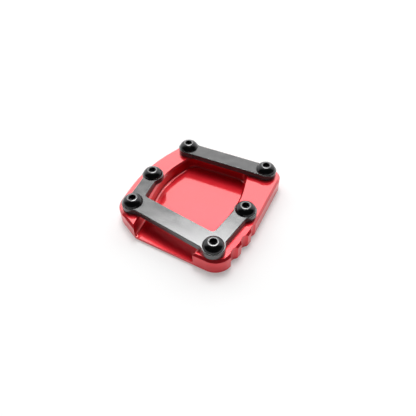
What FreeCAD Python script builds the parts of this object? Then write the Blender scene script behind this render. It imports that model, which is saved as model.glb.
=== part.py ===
import FreeCAD, Part
import math
import os
from FreeCAD import Vector

# Enlarger for the foot of a motorcycle side stand, in millimetres.
# A milled aluminium base carries the foot in an open pocket. A U-shaped steel plate
# and a straight steel bar lie over the rim of the pocket, and six button-head screws
# draw them down on the foot.
#
# The plan is drawn from the screw at the left end of the U plate's front leg:
# +X runs along that leg, +Y towards the bar, and +Z up from the ground.
# At the end the whole part moves so that its origin is the middle of the
# base's footprint, on the ground.

# Heights
base_height = 8.0
floor_thickness = 2.0
plate_thickness = 3.0

# Screw places in plan: x and y from the screw at the front left
front_leg_span = 45.4
right_leg_span = 25.4
left_screw_x = -5.3
left_screw_y = 20.1
bar_left_screw_x = -4.0
bar_left_screw_y = 47.9
bar_right_screw_x = 39.1
bar_right_screw_y = 55.0

# Button-head screws
thread_diameter = 5.0
thread_clearance = 0.05
thread_length = 10.0
head_diameter = 9.5
head_height = 2.75
head_rim_height = 0.35
head_flat_diameter = 4.6
head_dome_bulge = 0.42
head_dome_steps = 3
socket_across_flats = 3.0
socket_depth = 1.6
thread_end_chamfer = 0.6
socket_turns = [12.0, 0.0, 25.0, 50.0, 30.0, 5.0]

# Clamp plates: an eye round each screw, and legs whose outer side is recessed. The
# bar's inner side is a small step inside its eyes.
eye_radius = 5.25
plate_hole_diameter = 5.5
plate_edge_break = 0.25
front_leg_outer_half = 3.65
front_leg_inner_half = 6.1
right_leg_outer_half = 3.2
right_leg_inner_half = 4.1
left_leg_half = 3.4
bar_outer_half = 3.45
bar_inner_step = 0.15
eye_blend_radius = 3.0
inner_corner_radius = 1.8

# Outline of the base: the slopes are angles in plan, the margins are the distance
# from a screw centre to the edge beside it, and the right wall bends a little in
# front of the right screw
front_corner_x = 9.0
front_corner_y = -10.1
front_left_slope = -18.5
front_slope = 6.2
left_lower_slope = 105.5
left_upper_slope = 80.0
left_lower_margin = 8.0
left_upper_margin = 6.9
right_margin_front = 7.8
right_margin_back = 7.9
right_bend_drop = 7.4
back_margin = 6.5
left_side_radius = 71.0
left_front_radius = 11.0
front_corner_radius = 3.0
right_front_radius = 8.2
right_bend_radius = 30.0
back_right_radius = 8.0
back_left_radius = 7.0
top_chamfer = 1.0
bottom_chamfer = 0.5

# Pocket for the foot, open at the front below the U plate's front leg
pocket_left_slope = 108.4
pocket_left_straight = 27.4
pocket_left_turn = 28.0
pocket_left_radius = 42.0
pocket_right_margin = 6.0
pocket_right_straight = 20.0
pocket_right_turn = 22.0
pocket_right_radius = 50.0
pocket_back_margin = 3.2
pocket_back_left_radius = 5.0
pocket_back_right_radius = 5.0
pocket_floor_fillet = 1.2
pocket_edge_chamfer = 0.8

# Finger notches milled into the right side
notch_count = 3
notch_radius = 3.2
notch_pitch = 8.3
notch_first = 4.6
notch_depth = 1.55

# Tapped holes
hole_countersink = 0.3

# How far cutting bodies run on past the metal
overcut = 5.0

# Ring of points that feels for metal round an upright edge of a plate
ring_radius = 0.05
ring_points = 24

base_top = base_height
plate_top = base_top + plate_thickness
up = Vector(0.0, 0.0, 1.0)

screw_front_left = Vector(0.0, 0.0, 0.0)
screw_front_right = Vector(front_leg_span, 0.0, 0.0)
screw_right = Vector(front_leg_span, right_leg_span, 0.0)
screw_left = Vector(left_screw_x, left_screw_y, 0.0)
screw_bar_left = Vector(bar_left_screw_x, bar_left_screw_y, 0.0)
screw_bar_right = Vector(bar_right_screw_x, bar_right_screw_y, 0.0)
front_corner = Vector(front_corner_x, front_corner_y, 0.0)


def direction(angle):
    """Unit vector in plan at an angle in degrees from +X."""
    return Vector(math.cos(math.radians(angle)), math.sin(math.radians(angle)), 0.0)


def left_of(vector):
    """The plan vector turned a quarter turn anticlockwise."""
    return Vector(-vector.y, vector.x, 0.0)


def crossing(point_a, along_a, point_b, along_b):
    """Where two plan lines, each a point and a direction, cross."""
    span = point_b - point_a
    turn = along_a.x * along_b.y - along_a.y * along_b.x
    reach = (span.x * along_b.y - span.y * along_b.x) / turn
    return point_a + along_a * reach


def rounded_wire(corners):
    """Closed wire through (corner, radius) pairs, with a tangent arc at each corner."""
    count = len(corners)
    stretches = []
    for index, (corner, radius) in enumerate(corners):
        before = (corners[index - 1][0] - corner).normalize()
        after = (corners[(index + 1) % count][0] - corner).normalize()
        half = before.getAngle(after) / 2.0
        start = corner + before * (radius / math.tan(half))
        end = corner + after * (radius / math.tan(half))
        middle_way = (before + after).normalize()
        middle = corner + middle_way * (radius / math.sin(half) - radius)
        stretches.append((start, middle, end))
    edges = []
    for index, (start, middle, end) in enumerate(stretches):
        edges.append(Part.Arc(start, middle, end).toShape())
        following = stretches[(index + 1) % count][0]
        if end.distanceToPoint(following) > 1e-6:
            edges.append(Part.makeLine(end, following))
    return Part.Wire(edges)


def prism(wire, bottom, top):
    """Solid between two heights over a closed plan wire."""
    raised = wire.copy()
    raised.translate(up * bottom)
    return Part.Face(raised).extrude(up * (top - bottom))


def edges_at_height(shape, height):
    """The edges that lie wholly at one height."""
    return [edge for edge in shape.Edges
            if abs(edge.BoundBox.ZMin - height) < 1e-4
            and abs(edge.BoundBox.ZMax - height) < 1e-4]


bar_along = (screw_bar_right - screw_bar_left).normalize()
bar_across = left_of(bar_along)


def base_outline():
    """Plan of the base's outer wall."""
    left_lower_along = direction(left_lower_slope)
    left_upper_along = direction(left_upper_slope)
    left_lower_point = screw_front_left + left_of(left_lower_along) * left_lower_margin
    left_upper_point = screw_bar_left + left_of(left_upper_along) * left_upper_margin
    right_point = screw_front_right + Vector(right_margin_front, 0.0, 0.0)
    right_back_point = screw_bar_right + bar_along * right_margin_back
    back_point = screw_bar_right + bar_across * back_margin
    forward = Vector(0.0, 1.0, 0.0)
    left_front = crossing(front_corner, direction(front_left_slope), left_lower_point, left_lower_along)
    right_front = crossing(front_corner, direction(front_slope), right_point, forward)
    right_bend = Vector(right_point.x, screw_right.y - right_bend_drop, 0.0)
    back_right = crossing(right_bend, right_back_point - right_bend, back_point, bar_along)
    back_left = crossing(back_point, bar_along, left_upper_point, left_upper_along)
    left_bulge = crossing(left_upper_point, left_upper_along, left_lower_point, left_lower_along)
    return rounded_wire([
        (left_front, left_front_radius),
        (front_corner, front_corner_radius),
        (right_front, right_front_radius),
        (right_bend, right_bend_radius),
        (back_right, back_right_radius),
        (back_left, back_left_radius),
        (left_bulge, left_side_radius)])


def pocket_outline():
    """Plan of the pocket's wall, run out past the front edge of the base."""
    left_along = direction(pocket_left_slope)
    left_end_along = direction(pocket_left_slope - pocket_left_turn)
    left_tangent = pocket_left_radius * math.tan(math.radians(pocket_left_turn / 2.0))
    left_bend = front_corner + left_along * (pocket_left_straight + left_tangent)
    right_start = screw_front_right - Vector(pocket_right_margin, 0.0, 0.0)
    right_end_along = direction(90.0 + pocket_right_turn)
    right_tangent = pocket_right_radius * math.tan(math.radians(pocket_right_turn / 2.0))
    right_bend = right_start + Vector(0.0, pocket_right_straight + right_tangent, 0.0)
    back_point = screw_bar_right - bar_across * pocket_back_margin
    back_left = crossing(left_bend, left_end_along, back_point, bar_along)
    back_right = crossing(right_bend, right_end_along, back_point, bar_along)
    left_out = front_corner - left_along * (2.0 * overcut)
    right_out = Vector(right_start.x, left_out.y, 0.0)
    return rounded_wire([
        (left_out, overcut / 2.0),
        (right_out, overcut / 2.0),
        (right_bend, pocket_right_radius),
        (back_right, pocket_back_right_radius),
        (back_left, pocket_back_left_radius),
        (left_bend, pocket_left_radius)])


def tapped_hole(place):
    """Cutting body of one through hole for a screw, countersunk at both faces."""
    radius = thread_diameter / 2.0
    rim = radius + hole_countersink
    hole = Part.makeCylinder(radius, base_height + 2.0 * overcut, place - up * overcut)
    top_sink = Part.makeCone(radius, rim, hole_countersink, place + up * (base_top - hole_countersink))
    bottom_sink = Part.makeCone(rim, radius, hole_countersink, place)
    return hole.fuse([top_sink, bottom_sink])


def make_base(places):
    """Milled base: outline, pocket, finger notches and tapped holes."""
    block = prism(base_outline(), 0.0, base_top)
    block = block.makeChamfer(top_chamfer, edges_at_height(block, base_top))
    block = block.makeChamfer(bottom_chamfer, edges_at_height(block, 0.0))

    pocket_wire = pocket_outline()
    pocket = prism(pocket_wire, floor_thickness, base_top + overcut)
    pocket = pocket.makeFillet(pocket_floor_fillet, edges_at_height(pocket, floor_thickness))
    block = block.cut(pocket)
    rim_wire = pocket_wire.copy()
    rim_wire.translate(up * base_top)
    rim = [edge for edge in edges_at_height(block, base_top)
           if rim_wire.distToShape(Part.Vertex(edge.valueAt(edge.LastParameter)))[0] < 1e-3
           and rim_wire.distToShape(Part.Vertex(edge.valueAt(edge.FirstParameter)))[0] < 1e-3]
    block = block.makeChamfer(pocket_edge_chamfer, rim)

    notch_x = screw_front_right.x + right_margin_front - notch_depth + notch_radius
    for index in range(notch_count):
        centre = Vector(notch_x, notch_first + index * notch_pitch, -overcut)
        block = block.cut(Part.makeCylinder(notch_radius, base_height + 2.0 * overcut, centre))
    for place in places:
        block = block.cut(tapped_hole(place))
    return block.removeSplitter()


def leg(start, end, right_half, left_half):
    """Flat strip of plate between two screw places, with its own width on each side."""
    along = (end - start).normalize()
    across = left_of(along)
    corners = [start - across * right_half, end - across * right_half,
               end + across * left_half, start + across * left_half]
    wire = Part.makePolygon(corners + corners[:1])
    return prism(wire, base_top, plate_top)


def vertical_inner_corners(plate):
    """Upright edges where the plate's outline turns inwards, so metal fills most of a ring round them."""
    found = []
    for edge in plate.Edges:
        box = edge.BoundBox
        if box.ZLength < plate_thickness - 1e-6 or box.XLength > 1e-6 or box.YLength > 1e-6:
            continue
        middle = edge.valueAt((edge.FirstParameter + edge.LastParameter) / 2.0)
        ring = [middle + direction(step * 360.0 / ring_points) * ring_radius for step in range(ring_points)]
        inside = sum(plate.isInside(point, 1e-6, True) for point in ring)
        if inside > ring_points / 2 + 1:
            found.append(edge)
    return found


def is_between_flats(plate, edge):
    """Whether an upright edge joins two flat side faces."""
    faces = plate.ancestorsOfType(edge, Part.Face)
    return all(isinstance(face.Surface, Part.Plane) for face in faces)


def make_plate(places, legs):
    """Clamp plate: eyes and legs in one flat outline, blended, drilled and edge-broken."""
    eyes = [Part.makeCylinder(eye_radius, plate_thickness, place + up * base_top) for place in places]
    plate = eyes[0].fuse(eyes[1:] + legs).removeSplitter()
    corners = vertical_inner_corners(plate)
    for edge in corners:
        middle = edge.valueAt((edge.FirstParameter + edge.LastParameter) / 2.0)
        live = min(vertical_inner_corners(plate),
                   key=lambda other: other.distToShape(Part.Vertex(middle))[0])
        radius = inner_corner_radius if is_between_flats(plate, live) else eye_blend_radius
        plate = plate.makeFillet(radius, [live])
    rims = edges_at_height(plate, plate_top) + edges_at_height(plate, base_top)
    plate = plate.makeChamfer(plate_edge_break, rims)
    for place in places:
        plate = plate.cut(Part.makeCylinder(plate_hole_diameter / 2.0, plate_thickness, place + up * base_top))
    return plate


def make_screw(place, socket_turn):
    """Button-head socket screw with its underside on a plate's top face."""
    head_radius = head_diameter / 2.0
    flat_radius = head_flat_diameter / 2.0
    shank_radius = thread_diameter / 2.0 - thread_clearance
    flat_edge = Vector(flat_radius, 0.0, head_height)
    rim_edge = Vector(head_radius, 0.0, head_rim_height)
    outward = Vector(head_height - head_rim_height, 0.0, head_radius - flat_radius).normalize()
    dome_middle = (flat_edge + rim_edge) / 2.0 + outward * head_dome_bulge
    dome = Part.Arc(flat_edge, dome_middle, rim_edge).toShape().discretize(head_dome_steps + 1)
    tip = -thread_length
    top = Vector(0.0, 0.0, head_height)
    below = [
        Vector(head_radius, 0.0, 0.0),
        Vector(shank_radius, 0.0, 0.0),
        Vector(shank_radius, 0.0, tip + thread_end_chamfer),
        Vector(shank_radius - thread_end_chamfer, 0.0, tip),
        Vector(0.0, 0.0, tip)]
    profile = Part.makePolygon([top] + dome + below + [top])
    screw = Part.Face(profile).revolve(Vector(0.0, 0.0, 0.0), up, 360.0)

    corner_radius = socket_across_flats / math.sqrt(3.0)
    hexagon = [direction(socket_turn + step * 60.0) * corner_radius for step in range(6)]
    floor = head_height - socket_depth
    socket = prism(Part.makePolygon(hexagon + hexagon[:1]), floor, head_height + overcut)
    screw = screw.cut(socket)
    screw.translate(place + up * plate_top)
    return screw


u_places = [screw_front_left, screw_front_right, screw_right, screw_left]
bar_places = [screw_bar_left, screw_bar_right]
all_places = u_places + bar_places

u_legs = [
    leg(screw_front_left, screw_front_right, front_leg_outer_half, front_leg_inner_half),
    leg(screw_front_right, screw_right, right_leg_outer_half, right_leg_inner_half),
    leg(screw_front_left, screw_left, left_leg_half, left_leg_half)]
bar_legs = [leg(screw_bar_left, screw_bar_right, eye_radius - bar_inner_step, bar_outer_half)]

parts = {
    "base": make_base(all_places),
    "u_clamp_plate": make_plate(u_places, u_legs),
    "clamp_bar": make_plate(bar_places, bar_legs),
    "button_head_screws": Part.makeCompound(
        [make_screw(place, turn) for place, turn in zip(all_places, socket_turns)])}

footprint = parts["base"].BoundBox
to_origin = Vector(-footprint.Center.x, -footprint.Center.y, 0.0)
os.makedirs("parts", exist_ok=True)
for name, shape in parts.items():
    shape.translate(to_origin)
    shape.exportStep("parts/" + name + ".step")
    print(name, "solids", len(shape.Solids), "valid", shape.isValid(), "volume", round(shape.Volume, 1))
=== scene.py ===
import math

import bpy
import numpy as np
from mathutils import Matrix, Vector


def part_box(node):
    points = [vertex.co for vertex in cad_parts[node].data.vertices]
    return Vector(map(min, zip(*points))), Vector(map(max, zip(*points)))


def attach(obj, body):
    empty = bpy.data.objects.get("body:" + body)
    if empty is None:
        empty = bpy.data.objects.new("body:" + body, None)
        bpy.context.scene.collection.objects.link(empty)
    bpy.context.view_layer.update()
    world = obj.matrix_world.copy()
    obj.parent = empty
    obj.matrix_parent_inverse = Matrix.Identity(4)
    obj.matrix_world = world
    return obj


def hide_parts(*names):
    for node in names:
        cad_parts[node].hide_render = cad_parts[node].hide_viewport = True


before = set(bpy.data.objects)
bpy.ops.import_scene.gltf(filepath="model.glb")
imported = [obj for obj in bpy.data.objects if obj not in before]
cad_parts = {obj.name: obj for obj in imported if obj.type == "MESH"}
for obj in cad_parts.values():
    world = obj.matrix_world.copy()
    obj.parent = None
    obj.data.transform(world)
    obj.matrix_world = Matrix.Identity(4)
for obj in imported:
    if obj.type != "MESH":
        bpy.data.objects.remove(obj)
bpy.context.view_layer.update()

# Looks of the side-stand foot enlarger: red anodised base, grey steel clamp plates
# and black button-head screws, on a white studio floor. Lengths are in metres, apart
# from the screws' sizes and places and the camera's place, which are in millimetres.
# Angles are in degrees, and a level of light is 1 where it looks white.

MM = 0.001
WHITE = (1.0, 1.0, 1.0, 1.0)

# Backdrop: its level, the sine of the elevation at which it ends, and how softly. It lies
# towards BEHIND in plan, and fades in as a direction's share towards there grows from
# BEHIND_START to BEHIND_FULL. ROOM is the level at which the rest lights the part.
BACKDROP = 1.6
BACKDROP_TOP = 0.77
BACKDROP_BLUR = 0.02
BEHIND = (-0.61, 0.79)
BEHIND_START = 0.20
BEHIND_FULL = 0.50
ROOM = 0.03

# Floor: its tone, and its glow where it is seen, which grows from the lift near the
# part to white further out
FLOOR_TONE = 0.75
FLOOR_LIFT = 0.28
FLOOR_NEAR = 0.4
FLOOR_FAR = 2.0
FLOOR_HALF = 6.0

# Lamps: azimuth anticlockwise from +X, elevation, width and height, and level. Each
# stands at the same distance from the part.
LAMP_DISTANCE = 3.0
BOX_AZIMUTH = 123.0
BOX_ELEVATION = 68.0
BOX_SIZE = (1.3, 1.38)
BOX_LEVEL = 8.0
FILL_AZIMUTH = 165.0
FILL_ELEVATION = 62.0
FILL_SIZE = (3.0, 3.0)
FILL_LEVEL = 0.8
FRONT_AZIMUTH = -60.0
FRONT_ELEVATION = 20.0
FRONT_SIZE = (2.5, 1.5)
FRONT_LEVEL = 1.3

# Dark hood over the camera's side: its level, its radius, the middle and half width of
# its sweep, its highest elevation, and its rows and columns of points
HOOD_TONE = 0.04
HOOD_RADIUS = 2.5
HOOD_AZIMUTH = -54.0
HOOD_SWEEP = 100.0
HOOD_TOP = 89.5
HOOD_ROWS = 19
HOOD_COLUMNS = 41

# Camera: its lens, its place measured from the first screw and the ground, the direction
# from the part back to it, and its roll
LENS = 33.70
SENSOR = 36.0
CLIP_START = 0.01
CAMERA_PLACE = (103.53, -82.94, 137.97)
CAMERA_BACK = (0.41027, -0.56211, 0.71813)
CAMERA_ROLL = -0.94

# Red anodised finish: the two tones of the dye, and the clear film over it, which
# thins out to WALL_FILM as the surface turns from facing up to upright
RED_DEEP = (0.67, 0.0015, 0.011, 1.0)
RED_LIGHT = (0.78, 0.003, 0.017, 1.0)
RED_METAL = 0.65
RED_ROUGHNESS = 0.33
RED_ROUGHNESS_CLOUD = 0.02
RED_EDGE_WIDTH = 0.00016
FILM_ROUGHNESS = 0.1
FILM_IOR = 2.15
WALL_FILM = 0.37
WALL_FACING = 0.4
TOP_FACING = 0.9

# Steel plates: tone and roughness of the faces, and how far their clouds shift both;
# tone and roughness of a painted highlight along the edges, and its width, and how far a
# softened normal has to lean away to show the painted highlight
STEEL_TONE = 0.139
STEEL_CLOUD = 0.12
STEEL_METAL = 0.75
STEEL_ROUGHNESS = 0.21
STEEL_ROUGHNESS_CLOUD = 0.03
STEEL_ROUGHNESS_STREAK = 0.01
# The edges' pale tone is a painted highlight, standing in for light caught by the edges
EDGE_HIGHLIGHT_TONE = 0.8
EDGE_METAL = 0.2
EDGE_ROUGHNESS = 0.2
EDGE_WIDTH = 0.0001
EDGE_HIGHLIGHT_START = 0.01
EDGE_HIGHLIGHT_FULL = 0.14

# Slope of the U plate's shading normal, and the way in plan that counts as uphill: the
# normal leans the other way, to the front right. BAR_TURN is the angle from +X of the
# bar's rolling direction.
PLATE_LEAN = 0.048
UPHILL = (-0.588, 0.809)
BAR_TURN = 9.4

# Black screws: their tone, how far its blotches shift it and the roughness range that
# goes with them, the tone of a painted highlight on the flat round each hexagon, and how
# far below the flat that tone starts and is full
BLACK_TONE = 0.053
BLACK_BLOTCH = 0.15
BLACK_SMOOTHEST = 0.17
BLACK_ROUGHEST = 0.24
# The flat's lighter tone is a painted highlight, standing in for light caught by the flat
FLAT_HIGHLIGHT_TONE = 0.18
FLAT_HIGHLIGHT_START = 0.00009
FLAT_HIGHLIGHT_FULL = 0.00002

# Screw head and socket. The head stands on the plates' top face. The drill point is
# narrower than the hexagon by its share, and AXIS_GAP is the radius of the small face
# that closes its tip.
PLATE_TOP = 11.0
HEAD_RADIUS = 4.75
HEAD_HEIGHT = 2.75
HEAD_RIM = 0.35
FLAT_RADIUS = 2.3
DOME_BULGE = 0.42
DOME_ROWS = 15
SOCKET_FLATS = 3.0
SOCKET_DEPTH = 1.6
SOCKET_MOUTH = 0.1
DRILL_SHARE = 0.96
DRILL_HALF_ANGLE = 59.0
AXIS_GAP = 0.02

# Screw thread, the plain neck over it and the chamfer at its end. The valley and the
# flank are shares of half a pitch.
THREAD_RADIUS = 2.45
THREAD_ROOT = 2.02
THREAD_PITCH = 0.8
THREAD_LENGTH = 10.0
THREAD_VALLEY = 0.12
THREAD_FLANK = 0.68
THREAD_ROWS = 112
NECK_RADIUS = 2.32
NECK_LENGTH = 0.9
NECK_FADE = 0.5
END_CHAMFER = 0.6

# Points round a screw, and the angle between faces from which an edge stays sharp
ROUND_STEPS = 96
SHARP_ANGLE = 32.0

# Screw places in plan, x and y, with the turn of each hexagon
SCREWS = [
    (0.0, 0.0, 12.0), (45.4, 0.0, 0.0), (45.4, 25.4, 25.0),
    (-5.3, 20.1, 50.0), (-4.0, 47.9, 30.0), (39.1, 55.0, 5.0)]

# Middle of the base in the plan that the screw places are measured in
screws_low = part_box("button_head_screws")[0]
PLAN_CENTRE = (
    min(x for x, y, turn in SCREWS) - HEAD_RADIUS - screws_low[0] / MM,
    min(y for x, y, turn in SCREWS) - HEAD_RADIUS - screws_low[1] / MM)


class Value:
    """What a node gives. Where it is a number, its operators add Math nodes."""

    def __init__(self, finish, socket):
        self.finish = finish
        self.socket = socket

    def worked(self, kind, other, swapped=False):
        pair = (other, self) if swapped else (self, other)
        return self.finish.add("ShaderNodeMath", {"operation": kind}, {0: pair[0], 1: pair[1]})

    def __add__(self, other):
        return self.worked("ADD", other)

    def __radd__(self, other):
        return self.worked("ADD", other)

    def __sub__(self, other):
        return self.worked("SUBTRACT", other)

    def __rsub__(self, other):
        return self.worked("SUBTRACT", other, swapped=True)

    def __mul__(self, other):
        return self.worked("MULTIPLY", other)

    def __rmul__(self, other):
        return self.worked("MULTIPLY", other)

    def at_most(self, other):
        return self.worked("MINIMUM", other)

    def at_least(self, other):
        return self.worked("MAXIMUM", other)


class Finish:
    """One material, or the world's, with its nodes added by kind, settings and inputs."""

    def __init__(self, holder):
        """The holder is the world, or the name of a new material."""
        self.material = bpy.data.materials.new(holder) if isinstance(holder, str) else holder
        self.material.use_nodes = True
        self.tree = self.material.node_tree
        self.tree.nodes.clear()

    def add(self, kind, settings=None, inputs=None, output=0):
        """A node of the kind: its settings are made first, then its sockets' values and links."""
        node = self.tree.nodes.new(kind)
        for name, value in (settings or {}).items():
            setattr(node, name, value)
        for name, value in (inputs or {}).items():
            if isinstance(value, Value):
                self.tree.links.new(value.socket, node.inputs[name])
            else:
                node.inputs[name].default_value = value
        return Value(self, node.outputs[output]) if node.outputs else None

    def coordinates(self, kind="Object"):
        return self.add("ShaderNodeTexCoord", output=kind)

    def part(self, vector, axis):
        """The vector's share along X, Y or Z."""
        return self.add("ShaderNodeSeparateXYZ", {}, {"Vector": vector}, axis)

    def stretched(self, vector, scale, turn=0.0):
        """The coordinates turned about Z by an angle in degrees, then scaled by axis."""
        return self.add("ShaderNodeMapping", {"vector_type": "TEXTURE"}, {
            "Vector": vector, "Rotation": (0.0, 0.0, math.radians(turn)),
            "Scale": tuple(1.0 / share for share in scale)})

    def noise(self, vector, scale, detail, roughness):
        return self.add("ShaderNodeTexNoise", {}, {
            "Vector": vector, "Scale": scale, "Detail": detail, "Roughness": roughness})

    def spread(self, value, low, high, to_low, to_high, smooth=False):
        """The value's range from low to high, mapped to another range and held at its ends."""
        kind = "SMOOTHSTEP" if smooth else "LINEAR"
        return self.add("ShaderNodeMapRange", {"clamp": True, "interpolation_type": kind}, {
            "Value": value, "From Min": low, "From Max": high,
            "To Min": to_low, "To Max": to_high})

    def clouded(self, noise, to_low, to_high):
        """The range that a noise mostly keeps to, mapped to another."""
        return self.spread(noise, 0.3, 0.7, to_low, to_high)

    def either_way(self, noise, reach):
        """The noise, from the reach below 0 to the reach above it."""
        return self.clouded(noise, -reach, reach)

    def mixed(self, factor, first, second):
        """Colour that goes from the first to the second as the factor goes from 0 to 1."""
        return self.add("ShaderNodeMix", {"data_type": "RGBA"}, {0: factor, 6: first, 7: second}, 2)

    def bump(self, height, distance, strength, normal=None):
        inputs = {"Height": height, "Distance": distance, "Strength": strength}
        if normal is not None:
            inputs["Normal"] = normal
        return self.add("ShaderNodeBump", {}, inputs)

    def rounded(self, radius):
        """Normal that softens every edge by a small radius."""
        return self.add("ShaderNodeBevel", {"samples": 6}, {"Radius": radius})

    def painted_edge_highlight(self, soft):
        """Mask of the painted edge highlight: 1 along the edges, where the softened normal leaves
        the surface's own, and else 0.
        """
        own = self.add("ShaderNodeNewGeometry", output="Normal")
        together = self.add("ShaderNodeVectorMath", {"operation": "DOT_PRODUCT"}, {
            0: soft, 1: own}, "Value")
        return self.spread(1.0 - together, EDGE_HIGHLIGHT_START, EDGE_HIGHLIGHT_FULL, 0.0, 1.0)

    def seen(self):
        """1 for light that the camera, a mirror or a glass sees, and 0 for all other light."""
        rays = [self.add("ShaderNodeLightPath", output=name)
                for name in ("Is Camera Ray", "Is Glossy Ray", "Is Transmission Ray")]
        return (rays[0] + rays[1] + rays[2]).at_most(1.0)

    def glow(self, colour):
        return self.add("ShaderNodeEmission", {}, {"Color": colour, "Strength": 1.0})

    def close(self, shader):
        kind = "World" if isinstance(self.material, bpy.types.World) else "Material"
        self.add("ShaderNodeOutput" + kind, {}, {"Surface": shader})
        return self.material


def grey(tone, blue=1.0):
    """Grey of a tone, with its blue made a little stronger or weaker."""
    return (tone, tone, tone * blue, 1.0)


def anodised_red():
    """Red dye under a hard clear oxide film, over lightly blasted aluminium."""
    finish = Finish("anodised_red")
    place = finish.coordinates()
    grain = finish.noise(place, scale=4200.0, detail=3.0, roughness=0.6)
    cloud = finish.noise(place, scale=90.0, detail=3.0, roughness=0.55)
    fine = finish.noise(place, scale=1400.0, detail=2.0, roughness=0.5)
    colour = finish.mixed(finish.clouded(cloud, 0.0, 1.0), RED_DEEP, RED_LIGHT)
    rough = RED_ROUGHNESS + finish.either_way(cloud, RED_ROUGHNESS_CLOUD)
    rough = rough + finish.either_way(fine, RED_ROUGHNESS_CLOUD)
    facing = finish.part(finish.coordinates("Normal"), "Z")
    film = finish.spread(facing, WALL_FACING, TOP_FACING, WALL_FILM, 1.0)
    soft = finish.rounded(RED_EDGE_WIDTH)
    normal = finish.bump(grain, distance=0.000003, strength=0.6, normal=soft)
    shader = finish.add("ShaderNodeBsdfPrincipled", {}, {
        "Base Color": colour, "Metallic": RED_METAL, "Roughness": rough, "Normal": normal,
        "Coat Weight": film, "Coat Roughness": FILM_ROUGHNESS, "Coat IOR": FILM_IOR})
    return finish.close(shader)


def plate_steel(name, turn, lean):
    """Rolled steel sheet with soft clouds, and a faint grain along its rolling direction.

    The turn is that direction's angle from +X. The lean is a slope of the face, in its
    shading normal alone.
    """
    finish = Finish(name)
    place = finish.coordinates()
    rise = finish.part(place, "Y") * UPHILL[1] + finish.part(place, "X") * UPHILL[0]
    along = finish.stretched(place, (160.0, 1500.0, 160.0), turn)
    streaks = finish.noise(along, scale=1.0, detail=4.0, roughness=0.6)
    patches = finish.stretched(place, (190.0, 260.0, 190.0), turn)
    mottle = finish.noise(patches, scale=1.0, detail=2.5, roughness=0.5)
    grain = finish.noise(place, scale=3200.0, detail=2.0, roughness=0.6)
    soft = finish.rounded(EDGE_WIDTH)
    edge_highlight = finish.painted_edge_highlight(soft)
    colour = finish.mixed(finish.clouded(mottle, 0.0, 1.0),
                          grey(STEEL_TONE * (1.0 - STEEL_CLOUD), blue=1.01),
                          grey(STEEL_TONE * (1.0 + STEEL_CLOUD)))
    # Painted highlight: the edges turn pale grey, less metallic and rougher, standing in for light
    # they catch
    colour = finish.mixed(edge_highlight, colour, grey(EDGE_HIGHLIGHT_TONE))
    rough = STEEL_ROUGHNESS + finish.either_way(mottle, STEEL_ROUGHNESS_CLOUD)
    rough = rough + finish.either_way(streaks, STEEL_ROUGHNESS_STREAK) + edge_highlight * EDGE_ROUGHNESS
    metal = STEEL_METAL - edge_highlight * (STEEL_METAL - EDGE_METAL)
    leaning = finish.bump(rise, distance=lean, strength=1.0, normal=soft)
    ribbed = finish.bump(streaks, distance=0.000002, strength=0.5, normal=leaning)
    normal = finish.bump(grain, distance=0.000002, strength=0.7, normal=ribbed)
    shader = finish.add("ShaderNodeBsdfPrincipled", {}, {
        "Base Color": colour, "Metallic": metal, "Roughness": rough, "Normal": normal})
    return finish.close(shader)


def black_oxide():
    """Black oxide on turned steel: fine rings round the head, read from the piece's own map."""
    finish = Finish("black_oxide")
    place = finish.coordinates()
    along = finish.add("ShaderNodeUVMap", {"uv_map": "profile"})
    turning = finish.stretched(along, (3.0, 60.0, 1.0))
    rings = finish.noise(turning, scale=1.0, detail=3.0, roughness=0.6)
    grain = finish.noise(place, scale=3800.0, detail=2.0, roughness=0.6)
    blotch = finish.noise(place, scale=380.0, detail=3.0, roughness=0.6)
    colour = finish.mixed(finish.spread(blotch, 0.35, 0.65, 0.0, 1.0),
                          grey(BLACK_TONE * (1.0 - BLACK_BLOTCH), blue=1.03),
                          grey(BLACK_TONE * (1.0 + BLACK_BLOTCH), blue=1.02))
    top = (PLATE_TOP + HEAD_HEIGHT) * MM
    # Painted highlight: the flat round each hexagon is lightened, standing in for light it catches
    flat_highlight = finish.spread(finish.part(place, "Z"), top - FLAT_HIGHLIGHT_START, top - FLAT_HIGHLIGHT_FULL, 0.0, 1.0)
    colour = finish.mixed(flat_highlight, colour, grey(FLAT_HIGHLIGHT_TONE))
    rough = finish.clouded(blotch, BLACK_SMOOTHEST, BLACK_ROUGHEST)
    turned = finish.bump(rings, distance=0.000012, strength=0.6)
    normal = finish.bump(grain, distance=0.000003, strength=0.7, normal=turned)
    shader = finish.add("ShaderNodeBsdfPrincipled", {}, {
        "Base Color": colour, "Metallic": 1.0, "Roughness": rough, "Normal": normal})
    return finish.close(shader)


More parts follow.
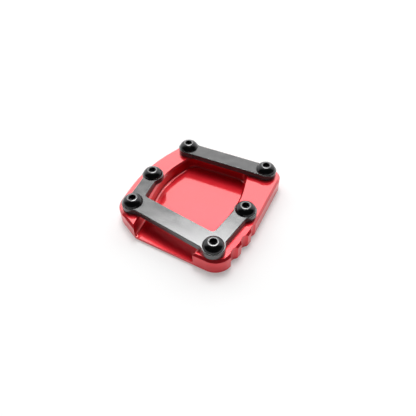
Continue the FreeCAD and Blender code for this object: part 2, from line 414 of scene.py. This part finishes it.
def screw_rows():
    """Rows of one screw, each a radius and height for every angle round its axis.

    The rows run from the tip of the drill point in the socket, up the hexagon's walls
    and its countersunk mouth, over the flat ring, the domed head and its rim, in under
    the head and down the thread to the middle of its end. The hexagon's radius at an
    angle is half the width across flats over the cosine of the angle from the nearest
    flat's middle. The mouth is a cone: its height falls as much as its radius shrinks.
    The dome is a parabola with a set bulge off its chord. The thread's radius at an
    angle and height is a trapezoid wave of height over pitch minus the turn.
    """
    turns = np.arange(ROUND_STEPS) / ROUND_STEPS
    angle = turns * 2.0 * math.pi
    every = np.ones_like(angle)
    rows = []

    def ring(radius, height):
        rows.append((radius * every, height * every))

    side = math.pi / 3.0
    from_corner = np.abs((angle + side / 2.0) % side - side / 2.0)
    half_flats = SOCKET_FLATS / 2.0
    hexagon = half_flats / np.cos(side / 2.0 - from_corner)
    mouth = half_flats / math.cos(side / 2.0) + SOCKET_MOUTH
    floor = HEAD_HEIGHT - SOCKET_DEPTH
    point = half_flats / math.tan(math.radians(DRILL_HALF_ANGLE))
    drill = half_flats * DRILL_SHARE
    ring(AXIS_GAP, floor - point)
    for share in (0.35, 0.7, 0.97, 1.0):
        ring(drill * share, floor - point * (1.0 - share))
    for share in (0.9, 1.0):
        ring(drill + (hexagon - drill) * share, floor)
    wall_top = HEAD_HEIGHT - (mouth - hexagon)
    for share in (0.04, 0.35, 0.65, 0.97):
        ring(hexagon, floor + (wall_top - floor) * share)
    for share in (0.0, 0.06, 0.5, 0.94, 1.0):
        radius = hexagon + (mouth - hexagon) * share
        ring(radius, HEAD_HEIGHT - (mouth - radius))
    for radius in (mouth + 0.03, (mouth + FLAT_RADIUS) / 2.0, FLAT_RADIUS - 0.05):
        ring(radius, HEAD_HEIGHT)

    start = np.array([FLAT_RADIUS, HEAD_HEIGHT])
    chord = np.array([HEAD_RADIUS, HEAD_RIM]) - start
    outward = np.array([-chord[1], chord[0]]) / np.hypot(*chord)
    share = np.linspace(0.02, 0.985, DOME_ROWS)[:, None]
    dome = start + chord * share + outward * DOME_BULGE * 4.0 * share * (1.0 - share)
    rim = [(4.745, 0.34), (4.75, 0.29), (4.75, 0.07), (4.73, 0.02), (4.68, 0.0),
           (2.9, 0.0), (2.5, 0.0)]
    for radius, height in [*dome, *rim]:
        ring(radius, height)

    for height in np.linspace(-0.02, 0.001 - THREAD_LENGTH, THREAD_ROWS):
        wave = np.abs(((height / THREAD_PITCH - turns) % 1.0) * 2.0 - 1.0)
        crest = np.clip((wave - THREAD_VALLEY) / THREAD_FLANK, 0.0, 1.0)
        radius = THREAD_ROOT + (THREAD_RADIUS - THREAD_ROOT) * crest
        threaded = np.clip((-height - NECK_LENGTH) / NECK_FADE, 0.0, 1.0)
        radius = NECK_RADIUS + (radius - NECK_RADIUS) * threaded
        limit = THREAD_RADIUS - END_CHAMFER + max(0.0, THREAD_LENGTH + height)
        ring(np.minimum(radius, limit), height)
    for share in (0.98, 0.6, 0.02):
        ring((THREAD_RADIUS - END_CHAMFER) * share, -THREAD_LENGTH)
    return angle, rows


def placed(name, data):
    """New object that holds the data, in the scene."""
    holder = bpy.data.objects.new(name, data)
    bpy.context.scene.collection.objects.link(holder)
    return holder


def make_screws():
    """Six screws in one piece: the rows of one screw, turned and set at each place.

    A point at an angle is the row's radius times its cosine and sine, at the row's height.
    The map named profile holds the share of a turn, and the way travelled along the rows.
    """
    angle, rows = screw_rows()
    count = len(angle)
    radius = np.array([row[0] for row in rows])
    height = np.array([row[1] for row in rows])
    single = np.stack([radius * np.cos(angle), radius * np.sin(angle), height], -1)
    steps = np.linalg.norm(np.diff(single[:, 0], axis=0), axis=1)
    travel = np.concatenate([[0.0], np.cumsum(steps)])
    row = np.arange(len(rows) - 1)[:, None] * count
    around = np.arange(count)
    after = (around + 1) % count
    quads = np.stack([row + around, row + around + count, row + after + count, row + after], -1)
    quads = quads.reshape(-1, 4)
    points, faces = [], []
    for number, (x, y, turn) in enumerate(SCREWS):
        cosine, sine = math.cos(math.radians(turn)), math.sin(math.radians(turn))
        turning = np.array([[cosine, sine, 0], [-sine, cosine, 0], [0, 0, 1]])
        turned = single.reshape(-1, 3) @ turning
        place = np.array([x - PLAN_CENTRE[0], y - PLAN_CENTRE[1], PLATE_TOP])
        first = number * len(turned)
        points.append((turned + place) * MM)
        faces += (quads + first).tolist()
        faces.append((first + around).tolist())
        faces.append((first + (len(rows) - 1) * count + around[::-1]).tolist())
    mesh = bpy.data.meshes.new("screws")
    mesh.from_pydata(np.concatenate(points), [], faces)
    layer = mesh.uv_layers.new(name="profile")
    corner = np.zeros(len(mesh.loops), np.int32)
    mesh.loops.foreach_get("vertex_index", corner)
    within = corner % (len(rows) * count)
    spot = np.stack([(within % count) / count, travel[within // count]], -1)
    layer.data.foreach_set("uv", spot.astype(np.float32).ravel())
    mesh.polygons.foreach_set("use_smooth", np.ones(len(mesh.polygons), bool))
    mesh.set_sharp_from_angle(angle=math.radians(SHARP_ANGLE))
    return placed("screws", mesh)


def place_camera():
    """Camera at the photograph's place, turned slightly about its own line of sight."""
    camera = bpy.data.cameras.new("camera")
    camera.lens = LENS
    camera.sensor_width = SENSOR
    camera.clip_start = CLIP_START
    holder = placed("camera", camera)
    stand = (Vector(CAMERA_PLACE) - Vector((*PLAN_CENTRE, 0.0))) * MM
    back = Vector(CAMERA_BACK).normalized()
    right = Vector((0.0, 0.0, 1.0)).cross(back).normalized()
    upward = back.cross(right)
    roll = math.radians(CAMERA_ROLL)
    side = right * math.cos(roll) + upward * math.sin(roll)
    over = upward * math.cos(roll) - right * math.sin(roll)
    turn = Matrix((side, over, back)).transposed()
    holder.matrix_world = Matrix.Translation(stand) @ turn.to_4x4()
    bpy.context.scene.camera = holder


def softbox(name, azimuth, elevation, size, level, glossy=True):
    """Rectangular lamp that faces the part. Its level is how bright it looks, where 1 is white."""
    lamp = bpy.data.lights.new(name, "AREA")
    lamp.shape = "RECTANGLE"
    lamp.size, lamp.size_y = size
    lamp.energy = level * math.pi * size[0] * size[1]
    holder = placed(name, lamp)
    turn, rise = math.radians(azimuth), math.radians(elevation)
    away = Vector((math.cos(turn) * math.cos(rise), math.sin(turn) * math.cos(rise),
                   math.sin(rise)))
    holder.location = away * LAMP_DISTANCE
    holder.rotation_euler = away.to_track_quat("Z", "Y").to_euler()
    holder.visible_camera = False
    holder.visible_glossy = glossy


def white_world():
    """White where it is seen or mirrored, brighter behind the part, and dim as a lamp."""
    world = bpy.data.worlds.new("studio")
    bpy.context.scene.world = world
    air = Finish(world)
    aim = air.coordinates("Generated")
    towards = air.part(aim, "Y") * BEHIND[1] + air.part(aim, "X") * BEHIND[0]
    behind = air.spread(towards, BEHIND_START, BEHIND_FULL, 0.0, 1.0, smooth=True)
    low = air.spread(air.part(aim, "Z"), BACKDROP_TOP - BACKDROP_BLUR,
                     BACKDROP_TOP + BACKDROP_BLUR, 1.0, 0.0, smooth=True)
    level = behind * low * (BACKDROP - ROOM) + ROOM
    strength = level.at_least(air.seen())
    air.close(air.add("ShaderNodeBackground", {}, {"Color": WHITE, "Strength": strength}))


def dark_hood():
    """Dark hood over the camera's side, which only mirrored light meets.

    It is a part of a sphere: a point at a turn and a rise is the radius times
    the cosine of the rise along the turn, and times its sine upwards.
    """
    finish = Finish("hood_black")
    material = finish.close(finish.glow(grey(HOOD_TONE)))
    ends = (HOOD_AZIMUTH - HOOD_SWEEP, HOOD_AZIMUTH + HOOD_SWEEP)
    turn = np.radians(np.linspace(*ends, HOOD_COLUMNS))[None, :]
    rise = np.radians(np.linspace(0.0, HOOD_TOP, HOOD_ROWS))[:, None]
    points = np.stack([np.cos(rise) * np.cos(turn), np.cos(rise) * np.sin(turn),
                       np.sin(rise) * np.ones_like(turn)], -1) * HOOD_RADIUS
    here = np.arange(HOOD_ROWS - 1)[:, None] * HOOD_COLUMNS + np.arange(HOOD_COLUMNS - 1)
    above = here + HOOD_COLUMNS
    quads = np.stack([here, above, above + 1, here + 1], -1)
    mesh = bpy.data.meshes.new("hood")
    mesh.from_pydata(points.reshape(-1, 3), [], quads.reshape(-1, 4).tolist())
    mesh.materials.append(material)
    hood = placed("hood", mesh)
    hood.visible_camera = hood.visible_diffuse = hood.visible_shadow = False


def pale_floor():
    """White floor that keeps the part's shadow, and glows to white where it is seen."""
    finish = Finish("floor_white")
    away = finish.add("ShaderNodeVectorMath", {"operation": "LENGTH"}, {
        0: finish.coordinates()}, "Value")
    lift = finish.seen() * finish.spread(away, FLOOR_NEAR, FLOOR_FAR, FLOOR_LIFT, 1.0)
    matt = finish.add("ShaderNodeBsdfDiffuse", {}, {"Color": grey(FLOOR_TONE)})
    both = finish.add("ShaderNodeAddShader", {}, {0: matt, 1: finish.glow(WHITE)})
    material = finish.close(finish.add("ShaderNodeMixShader", {}, {0: lift, 1: matt, 2: both}))
    corners = [(x * FLOOR_HALF, y * FLOOR_HALF, 0.0)
               for x, y in ((-1, -1), (1, -1), (1, 1), (-1, 1))]
    mesh = bpy.data.meshes.new("floor")
    mesh.from_pydata(corners, [], [(0, 1, 2, 3)])
    mesh.materials.append(material)
    floor = placed("floor", mesh)


def dress(piece, material):
    piece.data.materials.clear()
    piece.data.materials.append(material)


dress(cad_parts["base"], anodised_red())
dress(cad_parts["u_clamp_plate"], plate_steel("u_plate_steel", 0.0, PLATE_LEAN))
dress(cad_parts["clamp_bar"], plate_steel("bar_steel", BAR_TURN, 0.0))
screws = make_screws()
dress(screws, black_oxide())
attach(screws, "root")
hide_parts("button_head_screws")

place_camera()
pale_floor()
white_world()
dark_hood()
softbox("back_softbox", BOX_AZIMUTH, BOX_ELEVATION, BOX_SIZE, BOX_LEVEL)
softbox("side_fill", FILL_AZIMUTH, FILL_ELEVATION, FILL_SIZE, FILL_LEVEL, glossy=False)
softbox("front_fill", FRONT_AZIMUTH, FRONT_ELEVATION, FRONT_SIZE, FRONT_LEVEL, glossy=False)

scene = bpy.context.scene
scene.view_settings.view_transform = "Standard"
